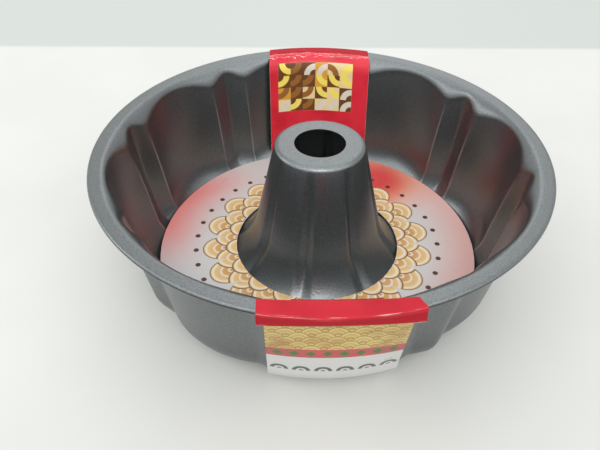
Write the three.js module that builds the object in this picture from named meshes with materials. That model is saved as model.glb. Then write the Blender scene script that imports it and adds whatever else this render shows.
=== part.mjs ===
// Fluted ring-cake pan in its shop packing: a drawn steel pan with a centre tube, a printed card ring lying
// in the trough, and one creased card strip wrapped under the base and folded over both sides of the rim.
// Millimetres, +Z up. The pan's axis is Z, its front is -Y, and z = 0 is the surface the sleeve lies on.
import * as THREE from 'three';

// Pan: sheet, rim and wall
const SHEET = 0.7; // steel thickness
const PAN_HEIGHT = 85.5; // underside of the floor to the top of the rim
const RIM_RADIUS = 130; // outer edge of the rim
const HEM_DROP = 3; // height of the turned-down edge
const RIM_ROUND = 1.2; // bend between the flange and the turned-down edge
const FLANGE_WIDTH = 8; // outer edge to the start of the cove
const FLANGE_FALL = 1; // how far the flange dips towards the wall
const COVE_RUN = 1.7; // inward run of the cove above a flute
const CREST_COVE_DROP = 3; // height of the cove above a flute
const RIDGE_COVE_DROP = 12; // height of the cove above a ridge
const WALL_DRAFT = 0.16; // inward run of the wall for each millimetre down
const CORNER_RADIUS = 26; // bend between the wall and the floor

// Pan: flutes. Broad rounded flutes alternate with narrow V flutes, and a sharp ridge parts each pair.
const FLUTE_PAIRS = 8;
const FLUTE_PHASE = THREE.MathUtils.degToRad(35.5); // azimuth of one V flute
const V_HALF_ANGLE = THREE.MathUtils.degToRad(6.5); // V flute's centre to its ridge
const RIDGE_DEPTH = 4.8; // how far a ridge stands in from the flutes
const FLOOR_RIDGE_DEPTH = 1; // the same where the wall has become the floor

// Pan: centre tube
const TUBE_HEIGHT = 86.3; // underside of the floor to the flat ring on top
const TUBE_TOP_RADIUS = 26.3; // where the tube's side would meet the plane of the ring
const TUBE_HOLE_RADIUS = 15;
const TUBE_ROUND = 2; // bend between the ring and the side
const TUBE_DRAFT = 0.225; // outward run of the side for each millimetre down
const FLARE_RADIUS = 40; // bend between the side and the floor
const GROOVE_DEPTH = 2.2; // V grooves in the tube, in line with the V flutes

// Cards
const CARD = 0.5; // card thickness
const CARD_GAP = 0.3; // clearance between a card and what it lies on
const FLOOR_CARD_HEIGHT = 9.5; // pan's floor to the underside of the floor card
const FLOOR_CARD_HOLE_CLEARANCE = 1; // tube to the edge of the card's hole
const SLEEVE_WIDTH = 72;
const WALL_PANEL_WIDTH = 67; // the sleeve draws in below the lip
const FRONT_FLAP_WIDTH = 40; // the front's inside flap is a narrower tongue
const SLEEVE_SHIFT = 4.1; // sideways offset of the sleeve from the pan's axis
const SLEEVE_TURN = THREE.MathUtils.degToRad(3.37); // turn of the sleeve about the pan's axis
const LIP_DROP = 4.3; // top of the rim to the crease below the lip
const LIP_END_DROP = 1.8; // how much lower that crease is at the edges of the sleeve
const FOLD_BACK_DROP = 3; // fall of the card from the lip back to the wall
const BACK_FLAP_DROP = 70; // top of the rim to the tip of the back's inside flap
const FRONT_FLAP_DROP = 30; // the same for the front's tongue
const WRAP_ANGLE = THREE.MathUtils.degToRad(60); // how far the sleeve follows the pan's bottom bend
// Share of the way from the round of the pan (0) to a straight crease (1)
const FRONT_RIM_STRAIGHT = 0.75;
const LIP_STRAIGHT = 0.45;
const WALL_PANEL_STRAIGHT = 0.9;
const BASE_STRAIGHT = 0.25;

// Facets
const LOBE_SEGMENTS = 7;
const BEND_SEGMENTS = 6;
const SMALL_BEND_SEGMENTS = 3;
const CARD_COLUMNS = 12;
const FLOOR_CARD_SEGMENTS = 72;
const FRONT = -1;
const BACK = 1;

// Levels in the whole object, worked out from the sizes above
const PAN_SEAT = CARD + CARD_GAP;
const RIM_TOP = PAN_SEAT + PAN_HEIGHT;
const CREASE_RELIEF = CARD / 2 + CARD_GAP; // a panel stops this far short of the crease it turns on
const CREASE_Z = RIM_TOP + CARD_GAP + CARD / 2;
const LIP_RADIUS = RIM_RADIUS + CARD_GAP + CARD / 2;
const QUARTER_TURN = Math.PI / 2;

const { lerp } = THREE.MathUtils;

// Wall of the pan, with heights counted from the underside of its floor
const flangeRadius = RIM_RADIUS - FLANGE_WIDTH;
const flangeHeight = PAN_HEIGHT - FLANGE_FALL;
const wallTopRadius = flangeRadius - COVE_RUN;
const wallTopHeight = flangeHeight - CREST_COVE_DROP;
const draftAngle = Math.atan(WALL_DRAFT);
const cornerHeight = SHEET + CORNER_RADIUS;
const wallFootHeight = cornerHeight - CORNER_RADIUS * Math.sin(draftAngle);

function fluteRadius(height) {
  return wallTopRadius - WALL_DRAFT * (wallTopHeight - height);
}

const cornerCentre = fluteRadius(wallFootHeight) - CORNER_RADIUS * Math.cos(draftAngle);

// Share of the way round the bottom bend, from the wall (0) to the floor (1)
function bendShare(angle) {
  return (angle - draftAngle) / (QUARTER_TURN - draftAngle);
}

function cornerPoint(angle, ridge) {
  const depth = ridge * lerp(RIDGE_DEPTH, FLOOR_RIDGE_DEPTH, bendShare(angle));
  const radius = cornerCentre + CORNER_RADIUS * Math.cos(angle) - depth;
  return new THREE.Vector2(radius, cornerHeight - CORNER_RADIUS * Math.sin(angle));
}

// Inner side of a ridge below its cove
function ridgePoint(height) {
  if (height < wallFootHeight) {
    return cornerPoint(Math.asin((cornerHeight - height) / CORNER_RADIUS), 1);
  }
  return new THREE.Vector2(fluteRadius(height) - RIDGE_DEPTH, height);
}

// Side of the tube
const tubeAngle = Math.atan(TUBE_DRAFT);
const flareHeight = SHEET + FLARE_RADIUS;
const flareTopHeight = flareHeight - FLARE_RADIUS * Math.sin(tubeAngle);
const tubeRoundHeight = TUBE_HEIGHT - TUBE_ROUND * (1 - Math.sin(tubeAngle));

function tubeRadius(height) {
  return TUBE_TOP_RADIUS + TUBE_DRAFT * (TUBE_HEIGHT - height);
}

const flareCentre = tubeRadius(flareTopHeight) + FLARE_RADIUS * Math.cos(tubeAngle);
const tubeRoundCentre = tubeRadius(tubeRoundHeight) - TUBE_ROUND * Math.cos(tubeAngle);

function evenSteps(from, to, segments) {
  return Array.from({ length: segments + 1 }, (_, i) => lerp(from, to, i / segments));
}

// Cove between the flange and the wall. ridge is 0 at the bottom of a flute and 1 on a ridge.
function covePoints(ridge) {
  const coveDrop = lerp(CREST_COVE_DROP, RIDGE_COVE_DROP, ridge);
  const coveFoot = flangeHeight - coveDrop;
  const coveRun = flangeRadius - (fluteRadius(coveFoot) - ridge * RIDGE_DEPTH);
  return evenSteps(0, QUARTER_TURN, SMALL_BEND_SEGMENTS).map((angle) => {
    const radius = flangeRadius - coveRun * Math.sin(angle);
    return new THREE.Vector2(radius, flangeHeight - coveDrop * (1 - Math.cos(angle)));
  });
}

// Upper side of the sheet at one azimuth, from the turned-down edge in to the hole in the tube. ridge is the
// same as for the cove, and groove is 1 in the middle of a V flute.
function panProfile({ ridge, groove }) {
  const points = [new THREE.Vector2(RIM_RADIUS, PAN_HEIGHT - HEM_DROP)];
  for (const angle of evenSteps(0, QUARTER_TURN, SMALL_BEND_SEGMENTS)) {
    const inset = RIM_ROUND * (1 - Math.cos(angle));
    points.push(new THREE.Vector2(RIM_RADIUS - inset, PAN_HEIGHT - RIM_ROUND * (1 - Math.sin(angle))));
  }
  const cove = covePoints(ridge);
  points.push(...cove);
  const middle = (cove.at(-1).y + wallFootHeight) / 2;
  points.push(new THREE.Vector2(fluteRadius(middle) - ridge * RIDGE_DEPTH, middle));
  for (const angle of evenSteps(draftAngle, QUARTER_TURN, BEND_SEGMENTS)) {
    points.push(cornerPoint(angle, ridge));
  }
  for (const angle of evenSteps(QUARTER_TURN, tubeAngle, BEND_SEGMENTS)) {
    const share = (QUARTER_TURN - angle) / (QUARTER_TURN - tubeAngle);
    const radius = flareCentre - FLARE_RADIUS * Math.cos(angle) - groove * GROOVE_DEPTH * share;
    points.push(new THREE.Vector2(radius, flareHeight - FLARE_RADIUS * Math.sin(angle)));
  }
  const half = (flareTopHeight + tubeRoundHeight) / 2;
  points.push(new THREE.Vector2(tubeRadius(half) - (groove * GROOVE_DEPTH) / 2, half));
  for (const angle of evenSteps(tubeAngle, QUARTER_TURN, SMALL_BEND_SEGMENTS)) {
    const radius = tubeRoundCentre + TUBE_ROUND * Math.cos(angle);
    points.push(new THREE.Vector2(radius, TUBE_HEIGHT - TUBE_ROUND * (1 - Math.sin(angle))));
  }
  points.push(new THREE.Vector2(TUBE_HOLE_RADIUS, TUBE_HEIGHT));
  return points;
}

// Unit normals on the left of a path
function leftNormals(path) {
  return path.map((_, i) => {
    const ahead = path[Math.min(i + 1, path.length - 1)];
    const behind = path[Math.max(i - 1, 0)];
    const along = ahead.clone().sub(behind).normalize();
    return new THREE.Vector2(-along.y, along.x);
  });
}

// Closed outline of a sheet: along one face and back along the other, at these distances left of the path
function sheetOutline(path, near, far) {
  const normals = leftNormals(path);
  const face = (offset) => path.map((point, i) => point.clone().addScaledVector(normals[i], offset));
  return [...face(near), ...face(far).reverse()];
}

// Skin over outlines that follow each other round the axis, closed into a ring or capped at both ends
function skin(sections, isRing) {
  const count = sections[0].length;
  const indices = [];
  const quad = (a, b, c, d) => indices.push(a, b, c, a, c, d);
  const last = isRing ? sections.length : sections.length - 1;
  for (let i = 0; i < last; i += 1) {
    const here = i * count;
    const next = ((i + 1) % sections.length) * count;
    for (let j = 0; j < count; j += 1) {
      const after = (j + 1) % count;
      quad(here + j, next + j, next + after, here + after);
    }
  }
  if (!isRing) {
    const end = last * count;
    for (let j = 0; j < count / 2 - 1; j += 1) {
      quad(j, j + 1, count - 2 - j, count - 1 - j);
      quad(end + j, end + count - 1 - j, end + count - 2 - j, end + j + 1);
    }
  }
  const geometry = new THREE.BufferGeometry();
  geometry.setAttribute('position', new THREE.Float32BufferAttribute(sections.flat(2), 3));
  geometry.setIndex(indices);
  geometry.computeVertexNormals();
  return geometry;
}

function turned(outline, azimuth) {
  return outline.map(({ x, y }) => [x * Math.cos(azimuth), x * Math.sin(azimuth), y]);
}

// Azimuths of the pan's facets, with what the wall and the tube do there
function fluteStations() {
  const pitch = (2 * Math.PI) / FLUTE_PAIRS;
  const lobeAngle = pitch - 2 * V_HALF_ANGLE;
  const stations = [];
  for (let pair = 0; pair < FLUTE_PAIRS; pair += 1) {
    const centre = FLUTE_PHASE + pair * pitch;
    stations.push({ azimuth: centre, ridge: 0, groove: 1 });
    for (let i = 0; i <= LOBE_SEGMENTS; i += 1) {
      const share = i / LOBE_SEGMENTS;
      const azimuth = centre + V_HALF_ANGLE + share * lobeAngle;
      stations.push({ azimuth, ridge: (2 * share - 1) ** 2, groove: 0 });
    }
  }
  return stations;
}

function panGeometry() {
  const sections = fluteStations().map((station) =>
    turned(sheetOutline(panProfile(station), 0, SHEET), station.azimuth));
  return skin(sections, true);
}

// Floor card: its edge lies on the ridges at the bottom bend, and its hole clears the tube
function floorCardGeometry() {
  const seat = SHEET + FLOOR_CARD_HEIGHT;
  const ridgeAngle = Math.asin((cornerHeight - seat) / CORNER_RADIUS);
  const tubeBend = Math.asin((flareHeight - seat) / FLARE_RADIUS);
  const outer = cornerPoint(ridgeAngle, 1).x - CARD_GAP;
  const inner = flareCentre - FLARE_RADIUS * Math.cos(tubeBend) + FLOOR_CARD_HOLE_CLEARANCE;
  const level = PAN_SEAT + seat;
  const path = [new THREE.Vector2(outer, level), new THREE.Vector2(inner, level)];
  const outline = sheetOutline(path, -CARD, 0);
  const sections = Array.from({ length: FLOOR_CARD_SEGMENTS }, (_, i) =>
    turned(outline, (i / FLOOR_CARD_SEGMENTS) * 2 * Math.PI));
  return skin(sections, true);
}

// Point on the middle of a sleeve panel: distance from the axis, height, share of straightness, and how much
// lower it lies at the edges of the sleeve
function cardPoint(radius, height, straight = 0, endDrop = 0) {
  return Object.assign(new THREE.Vector2(radius, height), { straight, endDrop });
}

// Distance of a crease from the sleeve's cross line, at one place across the sleeve
function creaseReach(radius, x, straight) {
  return lerp(Math.sqrt(radius ** 2 - x ** 2), radius, straight);
}

// Sleeve panel on one side of the pan, swept across the sleeve from one edge to the other
function sleevePanel(side, path, width) {
  const outline = sheetOutline(path, -CARD / 2, CARD / 2);
  const shapes = [...path, ...[...path].reverse()];
  const sections = [];
  for (let column = 0; column <= CARD_COLUMNS; column += 1) {
    const across = 2 * (column / CARD_COLUMNS) - 1;
    const x = SLEEVE_SHIFT - side * across * (width / 2);
    sections.push(outline.map(({ x: radius, y: height }, i) => {
      const { straight, endDrop } = shapes[i];
      return [x, side * creaseReach(radius, x, straight), height - endDrop * across ** 2];
    }));
  }
  return skin(sections, false);
}

const flangeTop = PAN_SEAT + flangeHeight;
const lipFoot = RIM_TOP - LIP_DROP;

// Panel on the flange, from its crease with the lip in to its crease with the flap
function rimPanelPath(straight) {
  return [
    cardPoint(LIP_RADIUS - CREASE_RELIEF, CREASE_Z),
    cardPoint(RIM_RADIUS - RIM_ROUND, CREASE_Z, straight / 2),
    cardPoint(flangeRadius + CREASE_RELIEF, lerp(flangeTop, RIM_TOP, straight) + CREASE_RELIEF, straight),
  ];
}

// Inside flap, which follows the ridges of the wall down from the flange
function flapPath(drop) {
  const tip = PAN_HEIGHT - drop;
  const cove = covePoints(1);
  const belowCove = evenSteps(cove.at(-1).y, tip, BEND_SEGMENTS).slice(1);
  const ridgeLine = [...cove, ...belowCove.map(ridgePoint)];
  const normals = leftNormals(ridgeLine);
  return ridgeLine.map((point, i) => {
    const { x, y } = point.clone().addScaledVector(normals[i], -CREASE_RELIEF);
    return cardPoint(x, y + PAN_SEAT);
  });
}

function lipPath() {
  return [
    cardPoint(LIP_RADIUS, lipFoot, LIP_STRAIGHT, LIP_END_DROP),
    cardPoint(LIP_RADIUS, CREASE_Z - CREASE_RELIEF),
  ];
}

// Bottom bend of the sleeve and the crease where it meets the base panel
const wrapRadius = CORNER_RADIUS + SHEET + CARD_GAP + CARD / 2;
const baseCrease = cornerCentre + wrapRadius * Math.tan((QUARTER_TURN - WRAP_ANGLE) / 2);

// Outside panel, from its crease with the base up to the crease below the lip
function wallPanelPath() {
  const footRadius = baseCrease + CREASE_RELIEF * Math.sin(WRAP_ANGLE);
  const points = [cardPoint(footRadius, CARD / 2 + CREASE_RELIEF * Math.cos(WRAP_ANGLE), BASE_STRAIGHT)];
  for (const angle of evenSteps(WRAP_ANGLE, draftAngle, BEND_SEGMENTS)) {
    const radius = cornerCentre + wrapRadius * Math.cos(angle);
    const height = PAN_SEAT + cornerHeight - wrapRadius * Math.sin(angle);
    const straight = BASE_STRAIGHT * (angle - draftAngle) / (WRAP_ANGLE - draftAngle);
    points.push(cardPoint(radius, height, straight));
  }
  const turn = lipFoot - CREASE_RELIEF - FOLD_BACK_DROP;
  const middle = (turn + PAN_SEAT + wallFootHeight) / 2;
  const outside = (z) => fluteRadius(z - PAN_SEAT) + (SHEET + CREASE_RELIEF) / Math.cos(draftAngle);
  points.push(cardPoint(outside(middle), middle, WALL_PANEL_STRAIGHT / 2));
  points.push(cardPoint(outside(turn), turn, WALL_PANEL_STRAIGHT, LIP_END_DROP));
  points.push(cardPoint(LIP_RADIUS - CREASE_RELIEF, lipFoot - CREASE_RELIEF, LIP_STRAIGHT, LIP_END_DROP));
  return points;
}

function basePanelGeometry() {
  const sections = [];
  for (let column = 0; column <= CARD_COLUMNS; column += 1) {
    const x = SLEEVE_SHIFT + (column / CARD_COLUMNS - 0.5) * WALL_PANEL_WIDTH;
    const reach = creaseReach(baseCrease - CREASE_RELIEF, x, BASE_STRAIGHT);
    sections.push([[x, reach, 0], [x, -reach, 0], [x, -reach, CARD], [x, reach, CARD]]);
  }
  return skin(sections, false);
}

// Finishes
const coatedSteel = new THREE.MeshStandardMaterial({ color: 0x4b4a4c, roughness: 0.42, metalness: 0.75 });
const redCard = new THREE.MeshStandardMaterial({ color: 0xc9283a, roughness: 0.4, metalness: 0 });
const printedCard = new THREE.MeshStandardMaterial({ color: 0xd8a35a, roughness: 0.45, metalness: 0 });
const whiteCard = new THREE.MeshStandardMaterial({ color: 0xe6e2dc, roughness: 0.6, metalness: 0 });

function piece(name, geometry, material) {
  const mesh = new THREE.Mesh(geometry, material);
  mesh.name = name;
  return mesh;
}

const packedPan = new THREE.Group();

const pan = piece('pan_body', panGeometry(), coatedSteel);
pan.position.z = PAN_SEAT;
packedPan.add(pan);
packedPan.add(piece('floor_card', floorCardGeometry(), printedCard));

const sleeve = new THREE.Group();
sleeve.rotation.z = SLEEVE_TURN;
packedPan.add(sleeve);
sleeve.add(piece('sleeve_base_panel', basePanelGeometry(), whiteCard));
const sides = [
  {
    label: 'front',
    side: FRONT,
    rimStraight: FRONT_RIM_STRAIGHT,
    flapWidth: FRONT_FLAP_WIDTH,
    flapDrop: FRONT_FLAP_DROP,
  },
  { label: 'back', side: BACK, rimStraight: 0, flapWidth: SLEEVE_WIDTH, flapDrop: BACK_FLAP_DROP },
];
for (const { label, side, rimStraight, flapWidth, flapDrop } of sides) {
  const panel = (part, path, width, material) =>
    sleeve.add(piece(`sleeve_${label}_${part}`, sleevePanel(side, path, width), material));
  panel('wall_panel', wallPanelPath(), WALL_PANEL_WIDTH, printedCard);
  panel('lip', lipPath(), SLEEVE_WIDTH, redCard);
  panel('rim_panel', rimPanelPath(rimStraight), SLEEVE_WIDTH, redCard);
  panel('flap', flapPath(flapDrop), flapWidth, redCard);
}

export default packedPan;
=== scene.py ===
import math

import bpy
import numpy as np
from mathutils import Matrix, Vector


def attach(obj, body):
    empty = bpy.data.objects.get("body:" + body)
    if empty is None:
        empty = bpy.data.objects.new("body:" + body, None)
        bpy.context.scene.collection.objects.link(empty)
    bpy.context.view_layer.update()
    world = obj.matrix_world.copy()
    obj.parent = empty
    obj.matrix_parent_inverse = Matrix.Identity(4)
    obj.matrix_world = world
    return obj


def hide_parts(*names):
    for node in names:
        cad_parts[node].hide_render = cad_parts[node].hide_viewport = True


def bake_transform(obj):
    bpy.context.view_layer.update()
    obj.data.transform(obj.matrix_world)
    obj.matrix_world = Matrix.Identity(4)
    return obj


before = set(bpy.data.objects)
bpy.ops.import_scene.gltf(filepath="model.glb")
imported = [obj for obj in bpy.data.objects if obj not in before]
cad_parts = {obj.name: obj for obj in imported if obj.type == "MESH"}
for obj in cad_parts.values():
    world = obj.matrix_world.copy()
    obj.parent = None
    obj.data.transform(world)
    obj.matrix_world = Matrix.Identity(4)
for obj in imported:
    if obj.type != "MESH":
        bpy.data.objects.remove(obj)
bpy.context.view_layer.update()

# Looks of a fluted ring-cake pan in its shop packing. Lengths are in millimetres up to the point where a
# mesh is made, in the frame of the solids: +Z up, the pan's axis on Z, the front of the sleeve towards -Y.
METRE = 0.001
MILLIMETRES = (1 / METRE,) * 3  # factors for a place in metres
QUARTER_TURN = math.pi / 2
SHARP_ANGLE = math.radians(42)  # a steeper edge isn't smoothed

# Pan
SHEET = 0.7
PAN_HEIGHT = 85.5
RIM_RADIUS = 130.0
RIM_ROUND = 1.2
HEM_DROP = 3.0
HEM_ROUND = 1.7  # the hem's foot curls under
HEM_CURL = math.radians(75)
FLANGE_WIDTH = 8.0
FLANGE_FALL = 1.0
COVE_RUN = 1.7
COVE_EASE = 1.4  # how far out on the flange its bend into the wall begins
CREST_COVE_DROP = 3.0
RIDGE_COVE_DROP = 12.0  # height of the cove above a ridge
LOBE_COVE_DROP = 4.5  # the same above a broad flute
GROOVE_COVE_DROP = 3.5  # the same above a narrow flute
RIDGE_CHAMFER = 0.35  # how straight a ridge slopes out from the wall to the flange
WALL_DRAFT = 0.16
CORNER_RADIUS = 26.0
RIDGE_DEPTH = 4.8
FLOOR_RIDGE_DEPTH = 1.0
RIDGE_SOFTNESS = 0.45  # degrees over which a pressed ridge is rounded
TOP_SOFTNESS = 1.8  # the same where a ridge runs out below the flange
TOP_SHARE = 0.45  # the upper part of the wall, where the one goes over into the other
TUBE_HEIGHT = 86.3
TUBE_TOP_RADIUS = 26.3
TUBE_HOLE_RADIUS = 15.0
TUBE_ROUND = 3.0
TUBE_DRAFT = 0.225
TUBE_SOFTNESS = 1.0  # degrees over which a groove of the tube is rounded
FLARE_RADIUS = 40.0
GROOVE_DEPTH = 2.9

# Flutes, in degrees
FLUTE_PAIRS = 8
FLUTE_PITCH = 360 / FLUTE_PAIRS
FLUTE_PHASE = 35.5
V_HALF_ANGLE = 6.5
FLUTE_SAMPLE = 0.05
FLUTE_MARGIN = 2.0  # meshed as finely as the narrow flute beside it
FLUTE_COLUMNS = 34
LOBE_COLUMNS = 14

# Painted shade: how much darker the coat is drawn in the hem's curl, on the inner wall and towards the
# outer foot, where shade falls
HEM_PAINTED_SHADE = 0.85
WALL_PAINTED_SHADE = 0.2
FOOT_PAINTED_SHADE = 0.3
FOOT_PAINTED_SHADE_HEIGHT = 50.0

# Cards
CARD = 0.5
CARD_GAP = 0.3
FLOOR_CARD_HEIGHT = 9.5
FLOOR_CARD_HOLE_CLEARANCE = 1.0
RING_ROWS = 180  # of the floor card's mesh
RING_COLUMNS = 15
SLEEVE_WIDTH = 72.0
SLEEVE_SHIFT = 4.1
SLEEVE_TURN = math.radians(3.37)
WALL_PANEL_WIDTH = 67.0
LIP_DROP = 4.3
LIP_END_DROP = 1.8
FOLD_BACK_DROP = 3.0
WRAP_ANGLE = math.radians(60)
FRONT_RIM_REACH = 120.6  # the front rim panel's inner edge
FRONT_RIM_TAPER = 1.5
FRONT_FLAP_WIDTH = 40.0
FRONT_FLAP_DROP = 30.0
FRONT_FLAP_GAP = 0.05
BACK_FLAP_DROP = 70.0
FLAP_EASE_TOP = 5.0  # below the rim, where a flap begins to take on the wall's curve
FLAP_EASE_FOOT = 16.0  # where it has that curve
FRONT_SLACK = 0.5  # how far the card stands off the front rim
WRINKLES = 26
WRINKLE_SEED = 7

# Straightness of the sleeve seen from above: 0 follows the round pan, 1 is flat
FRONT_RIM_STRAIGHT = 0.7
LIP_STRAIGHT = 0.45
WALL_PANEL_STRAIGHT = 0.9
BASE_STRAIGHT = 0.25

# Pieces of the sleeve, as lengths along the card
LIP_TOP_CUT = 1.9  # the lip stays with the pan up to this far below its top crease
RIM_FOLD_REACH = 2.8
FLAP_BEND = 8.0  # bends where a flap meets its rim panel

# Rows and columns of the sleeve's mesh
FOLD_SOFTNESS = 0.42  # spread of the rounding of a fold, along the card
RIM_FOLD_SOFTNESS = 0.95  # the same where the card goes over the pan's rim
RIM_FOLD_SPAN = 3.6
FOLD_REACH = 2.2
PATH_STEP = 0.06
ROW_STEP = 2.6
FINE_ROW_STEP = 0.28
ROW_CLEARANCE = 0.05  # a row nearer than this to a cut is left out
ROW_MARGIN = 0.4  # to one more row past a cut, which only serves the normals
BASE_ROWS = 16
COLUMNS = 73

# Inks
PAPER = (0.72, 0.70, 0.66)
RED = (0.60, 0.024, 0.042)
DEEP_RED = (0.50, 0.016, 0.03)
FRONT_RED = (0.43, 0.014, 0.026)
BACK_RED = (0.34, 0.011, 0.02)
# Darker red: patches in the ink, and the painted shade on the lip
DARK_PATCH_AND_LIP_SHADE_RED = (0.31, 0.008, 0.016)
DARK_BROWN = (0.075, 0.034, 0.028)
FOLD_WEAR_AND_HIGHLIGHT = 0.35  # half the width of the white along a fold, partly wear and partly a painted highlight

# Print on the front panel: distances below the lip
FRONT_FAN_WIDTH = 12.0
FRONT_FAN_STEP = 4.2
BAND_MIDDLE = 46.0
BAND_WIDTH = 8.0
LOZENGE_PITCH = 8.0
HALF_ROUND_PITCH = 11.0
HALF_ROUND_FOOT = 64.0

# Print on the back panel: distances below the lip
BACK_BAND = (22.0, 47.0)
BACK_LINES = ((20.0, 21.0), (48.0, 49.0))
BACK_FAN_WIDTH = 10.0
BACK_FAN_STEP = 3.125

# Print on the back flap: a box of tiles
BOX_TOP = 8.2  # below the bend
BOX_LEFT = -30.0
TILE = 9.1
TILE_COLUMNS = 6
TILE_ROWS = 4

# Print on the floor card: a rosette of fans round the tube
ROSETTE_FANS = 18
ROSETTE_RADIUS = 60.0  # centres of the outermost fans
ROSETTE_STEP = 7.5  # from one ring of fans to the next
DOT_RING = 79.0

# Stage and light, in metres
STAGE_REACH = 3.0
STAGE_LEVEL = -0.0002
LIGHT_TARGET = (0.0, 0.0, 0.04)

# Camera, solved from the ellipse of the rim in the photograph
CAMERA_PLACE = (0.0, -0.2862, 0.2715)  # metres
CAMERA_YAW = math.radians(-2.25)
CAMERA_PITCH = math.radians(40.83)
CAMERA_ROLL = math.radians(0.41)
CAMERA_LENS = 35.07
CAMERA_SENSOR = 36.0

PAN_SEAT = CARD + CARD_GAP
RIM_TOP = PAN_SEAT + PAN_HEIGHT
CREASE_RELIEF = CARD / 2 + CARD_GAP
CREASE_Z = RIM_TOP + CREASE_RELIEF
LIP_RADIUS = RIM_RADIUS + CREASE_RELIEF

flange_radius = RIM_RADIUS - FLANGE_WIDTH
flange_height = PAN_HEIGHT - FLANGE_FALL
wall_top_radius = flange_radius - COVE_RUN
wall_top_height = flange_height - CREST_COVE_DROP
draft_angle = math.atan(WALL_DRAFT)
corner_height = SHEET + CORNER_RADIUS
wall_foot_height = corner_height - CORNER_RADIUS * math.sin(draft_angle)
tube_angle = math.atan(TUBE_DRAFT)
flare_height = SHEET + FLARE_RADIUS
flare_top_height = flare_height - FLARE_RADIUS * math.sin(tube_angle)
tube_round_height = TUBE_HEIGHT - TUBE_ROUND * (1 - math.sin(tube_angle))


def flute_radius(height):
    return wall_top_radius - WALL_DRAFT * (wall_top_height - height)


def tube_radius(height):
    return TUBE_TOP_RADIUS + TUBE_DRAFT * (TUBE_HEIGHT - height)


def lerp(start, end, share):
    return start + (end - start) * share


corner_centre = flute_radius(wall_foot_height) - CORNER_RADIUS * math.cos(draft_angle)
flare_centre = tube_radius(flare_top_height) + FLARE_RADIUS * math.cos(tube_angle)
tube_round_centre = tube_radius(tube_round_height) - TUBE_ROUND * math.cos(tube_angle)


def corner_share(angle):
    """How far round the bend from the wall to the floor an angle is."""
    return (angle - draft_angle) / (QUARTER_TURN - draft_angle)


def corner_radius(angle, ridge=1.0):
    """Distance from the axis in that bend, where the ridges fade."""
    depth = ridge * lerp(RIDGE_DEPTH, FLOOR_RIDGE_DEPTH, corner_share(angle))
    return corner_centre + CORNER_RADIUS * np.cos(angle) - depth


def smooth_step(low, high, value):
    share = np.clip((np.asarray(value, float) - low) / (high - low), 0, 1)
    return share * share * (3 - 2 * share)


def unit(vectors):
    return vectors / np.maximum(np.linalg.norm(vectors, axis=-1, keepdims=True), 1e-12)


def resample(places, along, table):
    """Rows of a table at other places along it."""
    return np.stack([np.interp(places, along, column) for column in table.T], axis=1)


# Meshes


def make_object(name, data):
    thing = bpy.data.objects.new(name, data)
    bpy.context.scene.collection.objects.link(thing)
    return thing


def make_mesh(name, points, faces, materials):
    """Smooth-shaded mesh from points in millimetres."""
    mesh = bpy.data.meshes.new(name)
    mesh.from_pydata((points * METRE).tolist(), [], faces.tolist())
    for material in materials:
        mesh.materials.append(material)
    mesh.shade_smooth()
    return mesh


def grid_faces(rows, columns, is_ring=False, is_tube=False):
    """Quads of a grid of points stored row by row. A ring goes on from the last row to the first, and a
    tube from the last column to the first."""
    row = np.arange(rows if is_ring else rows - 1)[:, None]
    column = np.arange(columns if is_tube else columns - 1)[None, :]
    here, ahead = row * columns, (row + 1) % rows * columns
    beside = (column + 1) % columns
    return np.stack([here + column, ahead + column, ahead + beside, here + beside], axis=-1).reshape(-1, 4)


def surface_normals(points, is_ring=False):
    """Normals of a grid of points, along the cross product of its row and column directions."""
    if is_ring:
        along = np.roll(points, -1, axis=0) - np.roll(points, 1, axis=0)
    else:
        along = np.gradient(points, axis=0)
    return unit(np.cross(along, np.gradient(points, axis=1)))


# Pan


def flute_shares(azimuths, softness):
    """How far the wall stands in towards the axis, and the tube's groove, at each azimuth in degrees: two
    columns of shares, rounded over softness degrees."""
    fine = np.arange(0, FLUTE_PITCH, FLUTE_SAMPLE)
    aside = np.abs(fine - FLUTE_PITCH / 2)
    lobe = (FLUTE_PITCH / 2 - aside) / (FLUTE_PITCH / 2 - V_HALF_ANGLE)
    ridge = np.where(aside < V_HALF_ANGLE, aside / V_HALF_ANGLE, lobe ** 2)
    groove = np.clip(1 - aside / V_HALF_ANGLE, 0, 1)
    kernel = np.exp(-0.5 * (aside / softness) ** 2)
    kernel = np.fft.fft(np.roll(kernel / kernel.sum(), -len(fine) // 2))
    place = (azimuths - FLUTE_PHASE + FLUTE_PITCH / 2) % FLUTE_PITCH
    columns = []
    for shares in (ridge, groove):
        rounded = np.fft.ifft(np.fft.fft(shares) * kernel).real
        columns.append(np.interp(place, fine, rounded, period=FLUTE_PITCH)[:, None])
    return columns


def pan_azimuths():
    """Where the pan's profile is taken, in degrees: closer together at the narrow flutes."""
    margin = V_HALF_ANGLE + FLUTE_MARGIN
    flute = np.linspace(-margin, margin, FLUTE_COLUMNS)
    lobe = np.linspace(margin, FLUTE_PITCH - margin, LOBE_COLUMNS)[1:-1]
    one = np.concatenate([flute, lobe])
    return np.concatenate([FLUTE_PHASE + pair * FLUTE_PITCH + one for pair in range(FLUTE_PAIRS)])


def spread(start, end, count):
    """Evenly spaced values along the pan's profile, as a row."""
    return np.linspace(start, end, count)[None, :]


# Each stretch of the profile is given as radii, heights and painted shade: how much darker the coat is
# drawn there


def rim_profile():
    """Hem, and round edge of the rim."""
    curl = spread(-HEM_CURL, 0, 8)
    # The hem's curl and the lower part of the round edge get painted shade
    hem = (RIM_RADIUS - HEM_ROUND * (1 - np.cos(curl)),
           PAN_HEIGHT - HEM_DROP + HEM_ROUND * (1 + np.sin(curl)), HEM_PAINTED_SHADE)
    turn = spread(0, QUARTER_TURN, 9)
    edge = (RIM_RADIUS - RIM_ROUND * (1 - np.cos(turn)), PAN_HEIGHT - RIM_ROUND * (1 - np.sin(turn)),
            HEM_PAINTED_SHADE * (1 - smooth_step(0, 0.4, turn)))
    return [hem, edge]


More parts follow.
